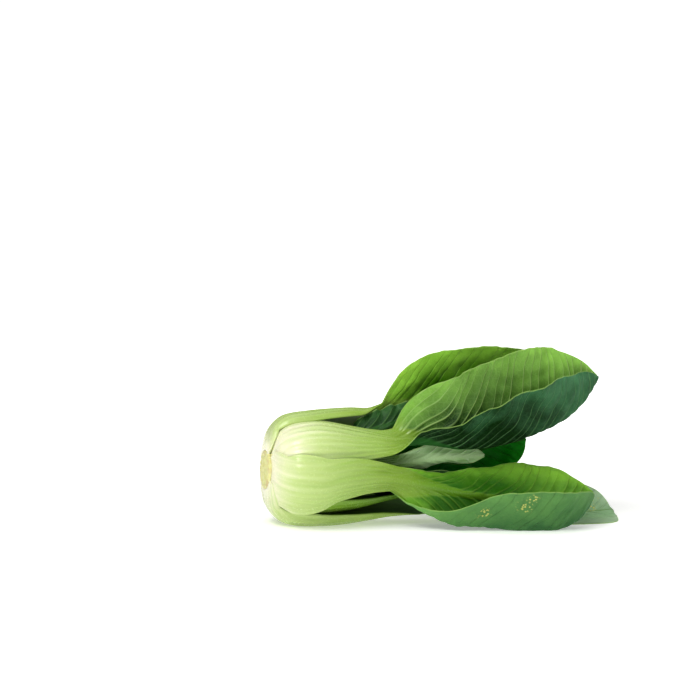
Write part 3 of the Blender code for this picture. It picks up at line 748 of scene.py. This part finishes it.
class Shader:
    """One Principled material, built node by node."""

    def __init__(self, name):
        self.material = bpy.data.materials.new(name)
        self.material.use_nodes = True
        self.tree = self.material.node_tree
        self.principled = self.tree.nodes["Principled BSDF"]

    def add(self, kind, **settings):
        node = self.tree.nodes.new(kind)
        for key, value in settings.items():
            setattr(node, key, value)
        return node

    def put(self, node, inputs):
        """Links or sets inputs of a node, whichever each value is."""
        for key, value in inputs.items():
            socket = node.inputs[key]
            if isinstance(value, bpy.types.NodeSocket):
                self.tree.links.new(value, socket)
            else:
                socket.default_value = value

    def surface(self, inputs):
        self.put(self.principled, inputs)

    def math(self, operation, *values, clamp=False):
        node = self.add("ShaderNodeMath", operation=operation, use_clamp=clamp)
        self.put(node, dict(enumerate(values)))
        return node.outputs[0]

    def plus(self, first, second, clamp=False):
        return self.math("ADD", first, second, clamp=clamp)

    def times(self, first, second):
        return self.math("MULTIPLY", first, second)

    def mix(self, share, first, second):
        node = self.add("ShaderNodeMix", data_type="RGBA")
        self.put(node, {"Factor": share, 6: first, 7: second})
        return node.outputs[2]

    def step(self, value, low, high, first=0.0, last=1.0):
        """Goes smoothly from first to last while the value goes from low to high."""
        node = self.add("ShaderNodeMapRange", interpolation_type="SMOOTHSTEP")
        self.put(node, dict(enumerate((value, low, high, first, last))))
        return node.outputs["Result"]

    def field(self, name):
        """The three parts of a vector that the mesh carries, and the vector itself."""
        source = self.add("ShaderNodeAttribute", attribute_name=name)
        parts = self.add("ShaderNodeSeparateXYZ")
        self.put(parts, {0: source.outputs["Vector"]})
        return [*parts.outputs, source.outputs["Vector"]]

    def stretched(self, vector, scale):
        node = self.add("ShaderNodeVectorMath", operation="MULTIPLY")
        self.put(node, {0: vector, 1: scale})
        return node.outputs[0]

    def noise(self, vector, scale, detail=3.0, roughness=0.5):
        node = self.add("ShaderNodeTexNoise")
        self.put(node, {"Vector": vector, "Scale": scale, "Detail": detail, "Roughness": roughness})
        return node.outputs["Fac"]

    def cells(self, vector, scale, feature):
        node = self.add("ShaderNodeTexVoronoi", feature=feature, voronoi_dimensions="2D")
        self.put(node, {"Vector": vector, "Scale": scale})
        return node.outputs["Distance"]

    def ramp(self, value, stops):
        node = self.add("ShaderNodeValToRGB")
        elements = node.color_ramp.elements
        while len(elements) < len(stops):
            elements.new(0.5)
        for element, (place, colour) in zip(elements, stops):
            element.position = place
            element.color = colour
        self.put(node, {"Fac": value})
        return node.outputs["Color"]

    def bump(self, height, distance):
        node = self.add("ShaderNodeBump")
        self.put(node, {"Height": height, "Distance": distance, "Strength": 1.0})
        self.surface({"Normal": node.outputs["Normal"]})

    def translucent(self, weight, scale):
        self.surface({"Subsurface Weight": weight, "Subsurface Radius": (1.0, 0.9, 0.6),
                      "Subsurface Scale": scale})


class LeafShader(Shader):
    """Material of one face of a leaf, from its pale stalk to its veined blade.

    The mesh carries "place" (along, across, progress up the stalk), "veins" (count,
    change per millimetre, share of the width) and "zone" (leafy, from the edge, spots).
    The outer face is the raised one: its veins stand out and its stalk is glossier.
    """

    def __init__(self, name, face, stalk_tones, raised):
        super().__init__(name)
        self.face = face
        self.raised = raised
        _, _, self.progress, self.place = self.field("place")
        self.count, self.rate, self.share, _ = self.field("veins")
        self.leafy, self.edge, self.spotted, _ = self.field("zone")
        self.fibres = self.noise(self.stretched(self.place, FIBRES), 1.0, 2.5, 0.5)
        self.bands = self.noise(self.stretched(self.place, BANDS), 1.0, 2.0)
        self.grain = self.noise(self.place, GRAIN, 2.0)
        self.lines = self.math("MAXIMUM", self.side_veins(), self.net())
        colour = self.joined(self.stalk_colour(stalk_tones), self.blade_colour())
        self.surface({"Base Color": self.with_spots(colour)})
        self.finish()
        self.relief()

    def stalk_colour(self, tones):
        """Ivory at its base, greener upwards, with fine lengthwise streaks."""
        shade = self.math("MULTIPLY_ADD", self.bands, 0.36, -0.18)
        ripeness = self.math("DIVIDE", self.plus(self.progress, shade), STALK_END)
        stalk = self.ramp(ripeness, [(stop / STALK_END, tone) for stop, tone in tones])
        streaks = self.times(self.step(self.fibres, 0.5, 0.75),
                             self.step(self.progress, 0.2, 1.0, 0.08, 0.35))
        stalk = self.mix(streaks, stalk, STREAK)
        midrib = self.step(self.progress, *(RIB_OUTSIDE if self.raised else RIB_INSIDE))
        return self.mix(midrib, stalk, self.face.rib)

    def side_veins(self):
        """1 on a side vein, less on a fainter one, and 0 between them."""
        shifted = self.math("FRACT", self.plus(self.count, 0.5))
        from_vein = self.math("ABSOLUTE", self.math("SUBTRACT", shifted, 0.5))
        gap = self.math("DIVIDE", from_vein, self.rate)
        half = self.times(self.step(self.share, 0.0, 1.0, 0.52, 0.2),
                          self.step(self.progress, 1.0, 1.7, 1.9, 1.0))
        vein = self.step(self.math("DIVIDE", gap, half), 0.2, 1.4, 1.0, 0.0)
        chance = self.add("ShaderNodeTexWhiteNoise", noise_dimensions="1D")
        self.put(chance, {"W": self.math("ROUND", self.count)})
        strength = self.step(chance.outputs["Value"], 0.0, 1.0, 0.45, 1.0)
        uncrowded = self.step(self.rate, 0.45, 0.95, 1.0, 0.0)
        return self.times(self.times(vein, strength), uncrowded)

    def net(self):
        """The fine net of veins between the side veins."""
        wide = self.cells(self.stretched(self.place, WIDE_NET), 1.0, "DISTANCE_TO_EDGE")
        fine = self.cells(self.stretched(self.place, FINE_NET), 1.0, "DISTANCE_TO_EDGE")
        return self.math("MAXIMUM", self.step(wide, 0.0, 0.10, 0.16, 0.0),
                         self.step(fine, 0.0, 0.16, 0.10, 0.0))

    def blade_colour(self):
        """Uneven green, lighter outwards and towards the tip as painted sheen, with its veins and a
        pale margin.
        """
        face = self.face
        cloud = self.noise(self.place, CLOUD, 4.0, 0.6)
        tone = self.plus(self.step(cloud, 0.3, 0.7, 0.0, 0.28), self.times(self.grain, 0.2))
        tone = self.plus(tone, self.step(self.progress, 1.0, 1.6, face.base, 0.0))
        # Lighter towards the tip and towards the margin: painted sheen.
        tone = self.plus(tone, self.step(self.progress, 1.7, 2.5, -0.1, face.tip))
        tone = self.plus(tone, self.step(self.share, 0.2, 0.95, -0.2, face.edge), clamp=True)
        blade = self.mix(tone, face.dark, face.light)
        shown = self.step(self.progress, 1.0, 1.8, 1.6 * face.shown, face.shown)
        blade = self.mix(self.times(self.lines, shown), blade, face.vein)
        return self.mix(self.step(self.edge, 0.1, 0.8, 0.6, 0.0), blade, MARGIN)

    def joined(self, stalk, blade):
        """The green runs down in flames where the blade meets the stalk."""
        flames = self.plus(self.math("MULTIPLY_ADD", self.bands, 0.7, -0.35),
                           self.math("MULTIPLY_ADD", self.fibres, 0.6, -0.3))
        mixed = self.step(self.plus(self.leafy, flames), 0.15, 0.85)
        mixed = self.times(mixed, self.step(self.leafy, 0.0, 0.2))
        return self.mix(mixed, stalk, blade)

    def with_spots(self, colour):
        """Small pale spots, in the patches that the mesh marks."""
        dots = self.step(self.cells(self.place, SPOTS, "F1"), *SPOT_RADIUS, 1.0, 0.0)
        chosen = self.step(self.noise(self.place, SPOT_GROUPS, 1.0), 0.44, 0.50)
        dots = self.times(self.times(dots, chosen), self.spotted)
        return self.mix(dots, colour, SPOT)

    def finish(self):
        """Gloss of the stalk and the blade, and the light that shines through them."""
        stalk_rough, specular = OUTER_GLOSS if self.raised else INNER_GLOSS
        rough = self.plus(self.step(self.leafy, 0.2, 0.8, stalk_rough, self.face.rough),
                          self.times(self.grain, 0.12))
        self.surface({"Roughness": rough, "Specular IOR Level": specular})
        self.translucent(0.25, 1.2 * MM)

    def relief(self):
        """Fine veins on the blade, fine ribs on the stalk and grain on both."""
        veins = self.times(self.lines, self.leafy)
        veins = veins if self.raised else self.math("SUBTRACT", 0.0, veins)
        ribs = self.times(self.fibres, self.math("SUBTRACT", 1.0, self.leafy))
        height = self.plus(veins, self.times(ribs, 0.08))
        height = self.plus(height, self.times(self.grain, 0.08))
        self.bump(height, 0.35 * MM)


def cut_stem_material():
    """Rough pale cut face with stained patches and a darker rim."""
    shader = Shader("cut_stem")
    _, radius, _, place = shader.field("place")
    cloud = shader.noise(place, 0.35, 5.0, 0.65)
    colour = shader.mix(shader.step(cloud, 0.35, 0.65), *CUT_FACE)
    rim = shader.step(shader.plus(radius, shader.times(cloud, 3.0)), 9.3, 11.0)
    worn = shader.step(shader.noise(place, 0.18, 2.0), 0.4, 0.6, 0.1, 0.9)
    colour = shader.mix(shader.times(rim, worn), colour, CUT_RIM)
    stains = shader.step(shader.noise(place, 0.6, 4.0, 0.7), 0.60, 0.72)
    colour = shader.mix(shader.times(stains, 0.6), colour, STAIN)
    grain = shader.noise(place, 2.2, 4.0, 0.7)
    shader.surface({"Base Color": colour, "Roughness": shader.step(grain, 0.2, 0.8, 0.55, 0.8)})
    shader.bump(shader.plus(grain, cloud), 0.5 * MM)
    shader.translucent(0.3, 1.5 * MM)
    return shader.material


# ---- Pieces ----


def head_to_world():
    """Where the head's own origin is in the frame, in metres."""
    low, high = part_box("stem_base")
    middle = (low + high) * 0.5
    return np.array([low.x - STEM_FACE_X * MM, middle.y, middle.z])


def add_piece(name, points, faces, materials, indices, fields, node):
    """A mesh piece in the row frame that stands for one node of the frame."""
    mesh = bpy.data.meshes.new(name)
    mesh.from_pydata((points * MM + ORIGIN).tolist(), [], faces.tolist())
    for each in materials:
        mesh.materials.append(each)
    mesh.polygons.foreach_set("material_index", indices)
    mesh.shade_smooth()
    for key, values in fields.items():
        made = mesh.attributes.new(key, "FLOAT_VECTOR", "POINT")
        made.data.foreach_set("vector", values.astype(np.float32).ravel())
    mesh.update()
    piece = bpy.data.objects.new(name, mesh)
    bpy.context.scene.collection.objects.link(piece)
    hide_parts(node)
    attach(piece, "root")
    return piece


def grid_faces(rows, cols):
    """Quads of the inner face, the outer face and the rim round them, and their materials."""
    index = np.arange(rows * cols).reshape(rows, cols)
    corners = [index[:-1, :-1], index[:-1, 1:], index[1:, 1:], index[1:, :-1]]
    inner = np.stack(corners, -1).reshape(-1, 4)
    outer = inner[:, ::-1] + rows * cols
    edge = np.concatenate([index[:, 0], index[-1, 1:], index[-2::-1, -1], index[0, -2:0:-1]])
    after = np.roll(edge, -1)
    rim = np.stack([edge, after, after + rows * cols, edge + rows * cols], -1)
    faces = np.concatenate([inner, outer, rim])
    indices = np.repeat([0, 1, 1], [len(inner), len(outer), len(rim)])
    return faces, indices.astype(np.int32)


def add_leaf(leaf):
    """The fine leaf, with the fields that its two materials read."""
    grid = LeafGrid(leaf)
    points = np.concatenate([face.reshape(-1, 3) for face in grid.faces()])
    look = LOOKS[leaf.look]
    # The inner face's stalk colours, and STALK_SHADED on both faces, are painted shade.
    inside = STALK_SHADED if look.shaded else STALK_INSIDE
    outside = STALK_SHADED if look.shaded else STALK_OUTSIDE
    materials = [
        LeafShader(leaf.name + "_inner", look.inner, inside, raised=False).material,
        LeafShader(leaf.name + "_outer", look.outer, outside, raised=True).material,
    ]
    along = np.broadcast_to(grid.along[:, None], grid.across.shape)
    progress = along / (along - grid.ahead)
    progress = np.where(progress < 1.0, progress ** (1.0 / look.ripe), progress)
    fields = {
        "place": np.stack([along, grid.across, progress], -1),
        "veins": np.stack([grid.phase, grid.rate, grid.share], -1),
        "zone": np.stack([grid.leafy(), grid.edge, grid.spotted()], -1),
    }
    fields = {key: np.concatenate([value.reshape(-1, 3)] * 2) for key, value in fields.items()}
    faces, indices = grid_faces(*grid.across.shape)
    return add_piece(leaf.name + "_fine", points, faces, materials, indices, fields,
                     leaf.name)


def add_stem():
    """The cut stem: a rough disc with an uneven edge, on a cone into the head."""
    turns = np.linspace(0.0, 2.0 * math.pi, STEM_SIDES, endpoint=False)
    uneven = sum(size * np.sin(waves * turns + phase) for size, waves, phase in STEM_UNEVEN)
    away = round_axis(np.degrees(turns))[0]
    seed, height, length = STEM_DENT
    rings = []
    places = []
    for x, radius in STEM:
        size = radius + uneven * smoothstep(radius, 5.0, 9.5)
        dent = height * ripples(size * np.cos(turns), size * np.sin(turns), seed, length)
        ring = away * size[:, None]
        ring[:, 0] += x + dent * smoothstep(-x, -2.0, 1.0)
        rings.append(ring)
        places.append(np.stack([ring[:, 1], size, ring[:, 2]], -1))
    index = np.arange(len(STEM) * STEM_SIDES).reshape(len(STEM), STEM_SIDES)
    after = np.roll(index, -1, axis=1)
    faces = np.stack([index[:-1], index[1:], after[1:], after[:-1]], -1).reshape(-1, 4)
    return add_piece("stem_base_fine", np.concatenate(rings), faces, [cut_stem_material()],
                     np.zeros(len(faces), np.int32), {"place": np.concatenate(places)},
                     "stem_base")


# ---- Studio ----

VIEW_WIDTH = 389.0       # width of what the camera frames, in millimetres at the head
STEM_IN_VIEW = (-0.1221, -0.169)  # the cut stem's place in the view, from its middle
AZIMUTH = -15.0          # degrees round from the front, below 0 to the left
ELEVATION = 6.0          # degrees above the floor
ROLL = 1.5               # degrees
LENS = 200.0
SENSOR = 36.0
FLOOR_REACH = 40.0       # half of the floor's width, in metres
GLOW_FROM = (0.10, 0.35)  # distance from the head in metres, and the floor's glow there
GLOW_TO = (0.55, 0.9)
AIM = Vector((0.0, 0.0, 0.03))
LIGHTS = [               # name, place and width in metres, watts
    ("key", (-0.55, -0.60, 0.85), 0.55, 8.2),
    ("top", (0.15, 0.10, 1.10), 0.9, 4.4),
    ("fill", (0.7, -1.0, 0.35), 0.8, 2.2),
]
SOFT_LIGHT = 0.2         # strength of the light from all round
BEHIND = 1.05            # brightness of what is behind the floor
GAMMA = 0.84             # a little more contrast than plain


def add_camera():
    turn = math.radians(AZIMUTH)
    rise = math.radians(ELEVATION)
    ahead = Vector((-math.sin(turn) * math.cos(rise), math.cos(turn) * math.cos(rise),
                    -math.sin(rise)))
    flat_right = Vector((ahead.y, -ahead.x, 0.0)).normalized()
    flat_up = flat_right.cross(ahead)
    roll = math.radians(ROLL)
    right = flat_right * math.cos(roll) + flat_up * math.sin(roll)
    up = flat_up * math.cos(roll) - flat_right * math.sin(roll)
    stem = Vector(ORIGIN + np.array([STEM_FACE_X * MM, 0.0, 0.0]))
    middle = stem - (right * STEM_IN_VIEW[0] + up * STEM_IN_VIEW[1]) * VIEW_WIDTH * MM
    low, high = cad_box
    depth = ((low + high) * 0.5 - stem).dot(ahead)
    camera = bpy.data.cameras.new("camera")
    camera.lens = LENS
    camera.sensor_width = SENSOR
    camera.clip_end = 100.0
    holder = bpy.data.objects.new("camera", camera)
    distance = VIEW_WIDTH * MM * LENS / SENSOR - depth
    place = middle - ahead * distance
    rows = [(right[k], up[k], -ahead[k], place[k]) for k in range(3)]
    holder.matrix_world = Matrix([*rows, (0.0, 0.0, 0.0, 1.0)])
    bpy.context.scene.collection.objects.link(holder)
    bpy.context.scene.camera = holder


def add_floor():
    """A plain white floor. Far from the head it glows as white as what is behind it."""
    mesh = bpy.data.meshes.new("floor")
    corners = [(x * FLOOR_REACH, y * FLOOR_REACH, 0.0) for x, y in ((-1, -1), (1, -1), (1, 1), (-1, 1))]
    mesh.from_pydata(corners, [], [(0, 1, 2, 3)])
    shader = Shader("floor")
    source = shader.add("ShaderNodeTexCoord")
    length = shader.add("ShaderNodeVectorMath", operation="LENGTH")
    shader.put(length, {0: source.outputs["Object"]})
    glow = shader.step(length.outputs["Value"], GLOW_FROM[0], GLOW_TO[0], GLOW_FROM[1], GLOW_TO[1])
    shader.surface({"Base Color": WHITE, "Roughness": 0.9, "Specular IOR Level": 0.1,
                    "Emission Color": (1.0, 1.0, 1.0, 1.0), "Emission Strength": glow})
    mesh.materials.append(shader.material)
    floor = bpy.data.objects.new("floor", mesh)
    bpy.context.scene.collection.objects.link(floor)


def add_light(name, place, size, power):
    """A square soft light that faces the head."""
    light = bpy.data.lights.new(name, "AREA")
    light.size = size
    light.energy = power
    holder = bpy.data.objects.new(name, light)
    holder.location = place
    holder.rotation_euler = (AIM - Vector(place)).to_track_quat("-Z", "Y").to_euler()
    bpy.context.scene.collection.objects.link(holder)


def add_world():
    """Soft light from all round, and plain white behind the floor."""
    world = bpy.data.worlds.new("studio")
    world.use_nodes = True
    tree = world.node_tree
    soft = tree.nodes["Background"]
    white = tree.nodes.new("ShaderNodeBackground")
    for node, strength in ((soft, SOFT_LIGHT), (white, BEHIND)):
        node.inputs["Color"].default_value = (1.0, 1.0, 1.0, 1.0)
        node.inputs["Strength"].default_value = strength
    path = tree.nodes.new("ShaderNodeLightPath")
    mix = tree.nodes.new("ShaderNodeMixShader")
    tree.links.new(path.outputs["Is Camera Ray"], mix.inputs[0])
    tree.links.new(soft.outputs[0], mix.inputs[1])
    tree.links.new(white.outputs[0], mix.inputs[2])
    tree.links.new(mix.outputs[0], tree.nodes["World Output"].inputs["Surface"])
    bpy.context.scene.world = world


def add_studio():
    add_floor()
    add_world()
    for light in LIGHTS:
        add_light(*light)
    bpy.context.scene.view_settings.view_transform = "Standard"
    bpy.context.scene.view_settings.gamma = GAMMA


ORIGIN = head_to_world()
for each_leaf in LEAVES:
    add_leaf(each_leaf)
add_stem()
add_camera()
add_studio()
